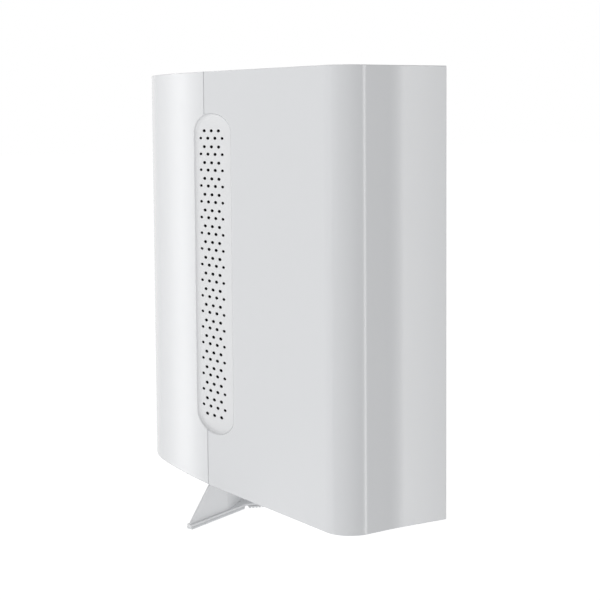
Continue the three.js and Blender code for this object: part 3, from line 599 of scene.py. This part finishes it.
def skinX(y):
    # The outside of the side panel: flat before the seam, on the taper's circle behind it.
    b = bodyShape
    behind = np.clip(np.asarray(y, float) - seamY, 0, None)
    angle = np.arcsin(math.sin(b["seamAngle"]) + behind / b["taperRadius"])
    return left + b["taperRadius"] * (math.cos(b["seamAngle"]) - np.cos(angle))


def slotRing(inwards, depth, fixedX=None, blend=0.0):
    # The slot drawn inwards by a distance, at a depth under the skin, or between it and a flat
    # plane. Each end is half an ellipse: (halfWidth * cos a, endHeight * sin a).
    v = vent
    angle = np.linspace(0, math.pi, 49)
    end = np.column_stack([v["halfWidth"] * np.cos(angle), v["endHeight"] * np.sin(angle)])
    line = np.vstack([end + (ventY, ventHigh - v["endHeight"]), (ventY, ventLow + v["endHeight"]) - end])
    line = insetLine(line, inwards)
    x = skinX(line[:, 0]) + depth
    if fixedX is not None:
        x = x * (1 - blend) + fixedX * blend
    return np.column_stack([x, line])


def slotCutter():
    # The opening in the shell: its edge turns in along a quarter circle under the skin.
    edge = vent["openingRound"]
    angle = np.linspace(0, math.pi / 2, 6)
    rings = [slotRing(-edge, -past)]
    rings += [slotRing(-edge * (1 - math.sin(a)), edge * (1 - math.cos(a))) for a in angle]
    rings.append(slotRing(0, bodyShape["wall"] + past))
    return ringSolid("slot", rings)


def ventHoleCutter():
    # Every hole as one ellipse carried inwards, its mouth widening along a quarter circle.
    v = vent
    places = []
    z = (ventLow + ventHigh) / 2 + v["rowPairs"] * (v["nearStep"] + v["farStep"]) / 2
    for row in range(2 * v["rowPairs"] + 1):
        count = 3 if row % 2 == 0 else 4
        for i in range(count):
            scale = v["outerScale"] if count == 4 and i in (0, count - 1) else 1.0
            places.append((ventY + v["holesBack"] + (i - (count - 1) / 2) * v["pitch"], z, scale))
        z -= v["nearStep"] if row % 2 == 0 else v["farStep"]
    places = np.array(places)
    angle = np.linspace(0, 2 * math.pi, v["holeSides"], endpoint=False)
    turn = np.linspace(0, math.pi / 2, 3)
    floor = left + v["floorDepth"]
    widen = [v["holeRound"], *(v["holeRound"] * (1 - np.sin(turn))), 0]
    depth = [floor - past, *(floor + v["holeRound"] * (1 - np.cos(turn))), left + v["backDepth"] + past]
    widen = np.array(widen)[None, :, None]
    half = places[:, 2][:, None, None] / 2
    y = places[:, 0][:, None, None] + (v["holeWidth"] * half + widen) * np.cos(angle)
    z = places[:, 1][:, None, None] + (v["holeHeight"] * half + widen) * np.sin(angle)
    x = np.broadcast_to(np.array(depth)[None, :, None], y.shape)
    points = np.stack([x, y, z], -1)
    holes, levels, sides = y.shape
    first = np.arange(holes)[:, None, None] * levels * sides
    here = np.arange(levels - 1)[None, :, None] * sides + np.arange(sides)[None, None]
    after = np.arange(levels - 1)[None, :, None] * sides + (np.arange(sides)[None, None] + 1) % sides
    quads = np.stack(np.broadcast_arrays(first + here, first + after, first + sides + after,
                                         first + sides + here), -1).reshape(-1, 4)
    caps = np.arange(holes)[:, None] * levels * sides + np.arange(sides)
    faces = quads.tolist() + caps.tolist() + (caps + (levels - 1) * sides).tolist()
    mesh = bpy.data.meshes.new("holes")
    mesh.from_pydata(points.reshape(-1, 3).tolist(), [], faces)
    return solidObject("holes", mesh)


def ventGrille():
    # The slot's section, from the pocket behind its plate round the flange and rim, down a concave
    # quarter ellipse to the floor: depth share = sqrt(1 - (1 - t)^2).
    v = vent
    back = left + v["backDepth"]
    under = bodyShape["wall"] + 0.3 * mm
    rim = v["rimDrop"]
    rings = [
        slotRing(v["pocketInset"], 0, left + v["floorDepth"] + v["plate"], 1.0),
        slotRing(v["pocketInset"], 0, back, 1.0),
        slotRing(-v["flangeBehind"], 0, back, 1.0),
        slotRing(-v["flangeBehind"], under),
        slotRing(v["gap"], under),
        slotRing(v["gap"], rim + 0.1 * mm),
        slotRing(v["gap"] + 0.03 * mm, rim + 0.03 * mm),
        slotRing(v["gap"] + 0.1 * mm, rim),
    ]
    start = v["gap"] + 0.12 * mm
    floor = left + v["floorDepth"]
    for t in np.linspace(0.01, 1, 14):
        rings.append(slotRing(start + v["wallRun"] * t, rim, floor, math.sqrt(1 - (1 - t) ** 2)))
    body = ringSolid("ventGrille", rings)
    return smoothed(shaped(body, [("DIFFERENCE", ventHoleCutter())]))


placeIn(ventGrille(), "router", "grille_white", "vent_grille")
print("vent grille made")


# The two shells.

shellJoins = {
    "seatGap": 0.3 * mm,
    "boreFloor": 2.2 * mm,
    "guideSlack": 0.1 * mm,
    "tonguePast": 1 * mm,
}


def middles(names):
    return [sum(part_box(name), Vector()) / 2 for name in names]


boardScrews = ["board_screw_%d" % i for i in range(1, 5)]
seamScrews = ["seam_screw_%d" % i for i in range(1, 5)]


def shellFixings(front):
    # Bosses under the board, the brackets and the cover's pegs, and their bores.
    b = bodyShape
    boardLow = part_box("main_board")[0]
    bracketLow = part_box("seam_bracket_1")[0]
    coverInner = right - b["coverThickness"]
    seatGap = shellJoins["seatGap"]
    seats = [(c, boardLow.x - seatGap) for c in middles(boardScrews)]
    seats += [(c, bracketLow.x - seatGap) for c in middles(seamScrews)]
    taperEnd = b["seamAngle"] + b["taperTurn"]
    postY = seamY + b["taperRadius"] * (math.sin(taperEnd) - math.sin(b["seamAngle"]))
    postZ = [bottom + b["wall"] + b["postInset"], top - b["wall"] - b["postInset"]]
    for y in (frontY + b["cornerRadius"], postY):
        seats += [(Vector((0, y, z)), coverInner - seatGap) for z in postZ]
    steps = []
    for centre, seat in seats:
        if (centre.y < seamY) != front:
            continue
        across = (centre.y, centre.z)
        foot = float(skinX(centre.y)) + b["wall"] / 2
        steps.append(("UNION", rod("x", foot, seat, across, b["bossRadius"])))
        bore = rod("x", foot + shellJoins["boreFloor"], seat + past, across, b["screwBore"], 24)
        steps.append(("DIFFERENCE", bore))
    return steps


def bodyShell(front):
    b = bodyShape
    name = "frontShell" if front else "rearShell"
    whole = wholeOutline()
    wall = b["wall"]
    shell = roundedPrism(name, halfOutline(front), bottom, top, b["edgeRound"])
    cavity = roundedPrism("cavity", insetLine(whole, wall), bottom + wall, top - wall)
    coverGap = b["openingGap"]
    coverLow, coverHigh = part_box("side_cover")
    cover = block(right - b["coverThickness"] - wall, right + past, coverLow.y - coverGap,
                  coverHigh.y + coverGap, coverLow.z - coverGap, coverHigh.z + coverGap)
    reach = b["tongueReach"]
    inset = b["tongueInset"]
    if front:
        slack = b["tongueGap"]
        inset -= slack
        lap = roundedPrism("lap", insetLine(whole, inset), bottom + inset, top - inset)
        lap = shaped(lap, [("INTERSECT", block(left - past, right + past, seamY - reach - slack,
                                               seamY + past, bottom - past, top + past))])
        steps = [("DIFFERENCE", lap)]
    else:
        lap = roundedPrism("lap", insetLine(whole, inset), bottom + inset, top - inset)
        lap = shaped(lap, [("INTERSECT", block(left - past, right + past, seamY - reach,
                                               seamY + shellJoins["tonguePast"],
                                               bottom - past, top + past))])
        steps = [("UNION", lap)]
    steps += [("DIFFERENCE", cavity), ("DIFFERENCE", cover)]
    steps += shellFixings(front)
    steps.append(("DIFFERENCE", slotCutter()))
    if front:
        guideLow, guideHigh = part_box("light_guide")
        slack = shellJoins["guideSlack"]
        steps.append(("DIFFERENCE", block(guideLow.x - slack, guideHigh.x + slack, guideLow.y - slack,
                                          guideHigh.y + slack, top - wall - past, top + past)))
    else:
        steps += rearOpenings()
    return smoothed(shaped(shell, steps))


rearShape = {
    "panelGap": 0.3 * mm,
    "panelLip": 1.5 * mm,
    "panelCut": 1 * mm,
    "socketSink": 0.5 * mm,
}
tenon = {"width": 12 * mm, "length": 20 * mm, "height": 8 * mm, "behindSeam": 9 * mm, "wall": 2 * mm}


def rearOpenings():
    # The port panel's opening, and the socket that takes the stand's tenon.
    b = bodyShape
    gap = b["openingGap"]
    panelGap = rearShape["panelGap"]
    lip = rearShape["panelLip"]
    wide = [panelLow.x, panelHigh.x - lip + panelGap]
    tall = [panelLow.z + lip, panelHigh.z - lip]
    opening = block(wide[0] - gap, wide[1] - panelGap + gap, rearY - b["wall"] - rearShape["panelCut"],
                    rearY + past, tall[0] + panelGap - gap, tall[1] - panelGap + gap)
    y0 = seamY + tenon["behindSeam"]
    roof = bottom + tenon["height"] + panelGap
    place = [-tenon["width"] / 2, tenon["width"] / 2, y0, y0 + tenon["length"]]

    def grown(by, low, high):
        return block(place[0] - by, place[1] + by, place[2] - by, place[3] + by, low, high)

    return [
        ("DIFFERENCE", opening),
        ("UNION", grown(panelGap + tenon["wall"], bottom + rearShape["socketSink"],
                        roof + tenon["wall"])),
        ("DIFFERENCE", grown(panelGap, bottom - past, roof)),
    ]


placeIn(bodyShell(True), "router", "shell_white", "front_housing")
placeIn(bodyShell(False), "router", "shell_white", "rear_housing")
print("shells made")


# Pieces whose frame solids are right apart from their sharp edges: each is merged and softened.

def softened(name, node, width, segments=3, angle=30):
    mesh = frame["nodes"][node].data.copy()
    work = bmesh.new()
    work.from_mesh(mesh)
    bmesh.ops.remove_doubles(work, verts=work.verts, dist=0.002 * mm)
    bmesh.ops.dissolve_limit(work, angle_limit=math.radians(0.5), verts=work.verts, edges=work.edges)
    work.to_mesh(mesh)
    work.free()
    piece = bpy.data.objects.new(name, mesh)
    bpy.context.scene.collection.objects.link(piece)
    soft = piece.modifiers.new("edges", "BEVEL")
    soft.width = width
    soft.segments = segments
    soft.limit_method = "ANGLE"
    soft.angle_limit = math.radians(angle)
    soft.harden_normals = False
    mesh.polygons.foreach_set("use_smooth", [True] * len(mesh.polygons))
    weighted = piece.modifiers.new("normals", "WEIGHTED_NORMAL")
    weighted.keep_sharp = True
    return piece


softEdges = {
    "side_cover": 0.3 * mm,
    "port_panel": 0.25 * mm,
    "lan_jack_1": 0.2 * mm, "lan_jack_2": 0.2 * mm, "lan_jack_3": 0.2 * mm, "lan_jack_4": 0.2 * mm,
    "wan_jack": 0.2 * mm,
    "usb_port": 0.12 * mm,
    "power_jack": 0.2 * mm,
    "power_button": 0.45 * mm, "pairing_button": 0.45 * mm, "reset_button": 0.2 * mm,
    "light_guide": 0.2 * mm,
    "stand_foot": 0.22 * mm,
    "sole_pad_1": 0.1 * mm, "sole_pad_2": 0.1 * mm, "sole_pad_3": 0.1 * mm,
    "heat_sink": 0.2 * mm,
    "main_board": 0.1 * mm,
    "processor": 0.12 * mm, "memory_chip": 0.1 * mm,
    "radio_shield_1": 0.1 * mm, "radio_shield_2": 0.1 * mm,
}


def camelName(node):
    first, *rest = node.split("_")
    return first + "".join(word.capitalize() for word in rest)


bodyOf = {n: b for b, members in frame["record"]["behaviour"]["bodies"].items() for n in members}
for nodeName, width in softEdges.items():
    placeIn(softened(camelName(nodeName), nodeName, width), bodyOf[nodeName], slotOf[nodeName], nodeName)
print("softened pieces made:", len(softEdges))


# Sprung contacts in the five network sockets: eight bent strips in each.

contacts = {
    "count": 8,
    "pitch": 1.02 * mm,
    "width": 0.45 * mm,
    "thick": 0.3 * mm,
    "behindFace": 3.2 * mm,
    "reach": 8.5 * mm,
    "drop": 2.6 * mm,
    "wallInset": 2.4 * mm,
    "bendBack": 0.6 * mm,
    "bendRise": 0.4 * mm,
    "turnBack": 0.5 * mm,
    "turnRise": 0.9 * mm,
    "endShare": 0.8,
}


def jackContacts(node):
    # Each strip follows (y, x): in along the socket's wall, then back towards its mouth on a slope.
    c = contacts
    low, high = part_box(node)
    wallX = high.x - c["wallInset"]
    y = high.y - c["behindFace"]
    path = np.array([
        (y - c["reach"], wallX),
        (y - c["bendBack"], wallX),
        (y, wallX - c["bendRise"]),
        (y - c["turnBack"], wallX - c["turnRise"]),
        (y - c["reach"] * c["endShare"], wallX - c["drop"]),
    ])
    along = np.gradient(path, axis=0)
    along /= np.linalg.norm(along, axis=1)[:, None]
    normal = np.column_stack([-along[:, 1], along[:, 0]]) * c["thick"] / 2
    sides = [path + normal, path - normal]
    middle = (low.z + high.z) / 2
    pieces = []
    for i in range(c["count"]):
        z = middle + (i - (c["count"] - 1) / 2) * c["pitch"]
        rings = []
        for k in range(len(path)):
            corners = [(sides[s][k][1], sides[s][k][0], z + w * c["width"] / 2)
                       for s, w in ((0, -1), (0, 1), (1, 1), (1, -1))]
            rings.append(corners)
        pieces.append(ringSolid("contact", rings))
    return pieces


def joined(name, pieces):
    work = bmesh.new()
    for piece in pieces:
        work.from_mesh(piece.data)
        bpy.data.objects.remove(piece)
    mesh = bpy.data.meshes.new(name)
    work.to_mesh(mesh)
    work.free()
    made = bpy.data.objects.new(name, mesh)
    bpy.context.scene.collection.objects.link(made)
    return made


for nodeName in ("lan_jack_1", "lan_jack_2", "lan_jack_3", "lan_jack_4", "wan_jack"):
    strips = joined(camelName(nodeName) + "Contacts", jackContacts(nodeName))
    strips.data.materials.append(finishes["contact_gold"])
    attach(strips, "router")
print("socket contacts made")


# Floor, world, lights and camera.

studio = {
    "floorHalf": 6.0,
    "fill": 0.42,
    "floorGlow": 0.86,
    "floorBounce": 0.35,
    "keyTurn": -3.0, "keyRise": 0.43, "keyDistance": 1.7, "keySize": (1.0, 0.85), "keyPower": 6.1,
    "stripTurn": -71.5, "stripDistance": 1.5, "stripSize": (0.16, 2.6), "stripPower": 4.0,
    "stripHigh": 0.75,
    "flareTurn": 115.0, "flareDistance": 1.5, "flareSize": (0.17, 3.4), "flarePower": 15.5,
    "flareHigh": 0.2,
}


def makeWorld():
    # White for the eye and for reflections, and a softer fill for the diffuse light.
    world = bpy.data.worlds.new("studio")
    scene = bpy.context.scene
    scene.world = world
    world.use_nodes = True
    tree = world.node_tree
    plain = tree.nodes["Background"]
    plain.inputs["Color"].default_value = (1, 1, 1, 1)
    plain.inputs["Strength"].default_value = 1.0
    fill = tree.nodes.new("ShaderNodeBackground")
    fill.inputs["Color"].default_value = (0.985, 0.993, 1.0, 1)
    fill.inputs["Strength"].default_value = studio["fill"]
    path = tree.nodes.new("ShaderNodeLightPath")
    mix = tree.nodes.new("ShaderNodeMixShader")
    tree.links.new(path.outputs["Is Diffuse Ray"], mix.inputs["Fac"])
    tree.links.new(plain.outputs[0], mix.inputs[1])
    tree.links.new(fill.outputs[0], mix.inputs[2])
    tree.links.new(mix.outputs[0], tree.nodes["World Output"].inputs["Surface"])
    world.cycles.sampling_method = "NONE"
    scene.view_settings.view_transform = "Standard"


def makeFloor():
    # A pale floor that glows a little for the eye, so that it stays plain. It is left out of
    # reflections, and lets the cards that reach below it shine through.
    half = studio["floorHalf"]
    mesh = bpy.data.meshes.new("floor")
    corners = [(-half, -half, 0), (half, -half, 0), (half, half, 0), (-half, half, 0)]
    mesh.from_pydata(corners, [], [(0, 1, 2, 3)])
    floor = bpy.data.objects.new("floor", mesh)
    bpy.context.scene.collection.objects.link(floor)
    material = bpy.data.materials.new("pale floor")
    material.use_nodes = True
    tree = material.node_tree
    shader = tree.nodes["Principled BSDF"]
    shader.inputs["Base Color"].default_value = (0.8, 0.8, 0.8, 1)
    shader.inputs["Roughness"].default_value = 0.9
    shader.inputs["Specular IOR Level"].default_value = 0.0
    shader.inputs["Emission Color"].default_value = (1, 1, 1, 1)
    shader.inputs["Emission Strength"].default_value = studio["floorBounce"]
    shown = tree.nodes.new("ShaderNodeBsdfDiffuse")
    shown.inputs["Color"].default_value = (0.4, 0.4, 0.4, 1)
    glow = tree.nodes.new("ShaderNodeEmission")
    glow.inputs["Strength"].default_value = studio["floorGlow"]
    both = tree.nodes.new("ShaderNodeAddShader")
    path = tree.nodes.new("ShaderNodeLightPath")
    mix = tree.nodes.new("ShaderNodeMixShader")
    tree.links.new(shown.outputs[0], both.inputs[0])
    tree.links.new(glow.outputs[0], both.inputs[1])
    tree.links.new(path.outputs["Is Diffuse Ray"], mix.inputs["Fac"])
    tree.links.new(both.outputs[0], mix.inputs[1])
    tree.links.new(shader.outputs[0], mix.inputs[2])
    tree.links.new(mix.outputs[0], tree.nodes["Material Output"].inputs["Surface"])
    mesh.materials.append(material)
    floor.visible_glossy = False
    floor.visible_shadow = False


def areaLight(name, turn, distance, height, size, power, diffuse, glossy):
    # Placed round the body by its turn from -X towards -Y, and facing the body's middle.
    data = bpy.data.lights.new(name, "AREA")
    data.shape = "RECTANGLE"
    data.size, data.size_y = size
    data.energy = power
    light = bpy.data.objects.new(name, data)
    bpy.context.scene.collection.objects.link(light)
    angle = math.radians(turn)
    light.location = (-math.cos(angle) * distance, -math.sin(angle) * distance, height)
    aim = Vector((0, 0, height)) - light.location
    light.rotation_euler = aim.to_track_quat("-Z", "Y").to_euler()
    light.visible_diffuse = diffuse
    light.visible_glossy = glossy
    light.visible_camera = False
    return light


def makeLights():
    s = studio
    areaLight("key", s["keyTurn"], s["keyDistance"], s["keyRise"], s["keySize"], s["keyPower"], True, False)
    areaLight("stripCard", s["stripTurn"], s["stripDistance"], s["stripHigh"], s["stripSize"],
              s["stripPower"], False, True)
    areaLight("flareCard", s["flareTurn"], s["flareDistance"], s["flareHigh"], s["flareSize"],
              s["flarePower"], False, True)


eye = {
    "aside": 374.5 * mm,
    "ahead": 584.6 * mm,
    "high": 179.7 * mm,
    "yaw": math.radians(34.536),
    "pitch": math.radians(4.259),
    "roll": math.radians(-0.41),
    "lens": 85.0,
    "sensor": 36.0,
    "shift": -0.1347,
}


def makeCamera():
    e = eye
    data = bpy.data.cameras.new("camera")
    data.lens = e["lens"]
    data.sensor_width = e["sensor"]
    data.shift_y = e["shift"]
    data.clip_start = 0.01
    camera = bpy.data.objects.new("camera", data)
    bpy.context.scene.collection.objects.link(camera)
    look = Vector((math.sin(e["yaw"]) * math.cos(e["pitch"]),
                   math.cos(e["yaw"]) * math.cos(e["pitch"]), -math.sin(e["pitch"])))
    side = Vector((math.cos(e["yaw"]), -math.sin(e["yaw"]), 0))
    rise = side.cross(look)
    across = math.cos(e["roll"]) * side + math.sin(e["roll"]) * rise
    upward = math.cos(e["roll"]) * rise - math.sin(e["roll"]) * side
    turn = Matrix((across, upward, -look)).transposed().to_4x4()
    camera.matrix_world = Matrix.Translation((-e["aside"], seamY - e["ahead"], bottom + e["high"])) @ turn
    bpy.context.scene.camera = camera


makeWorld()
makeFloor()
makeLights()
makeCamera()
print("studio made")
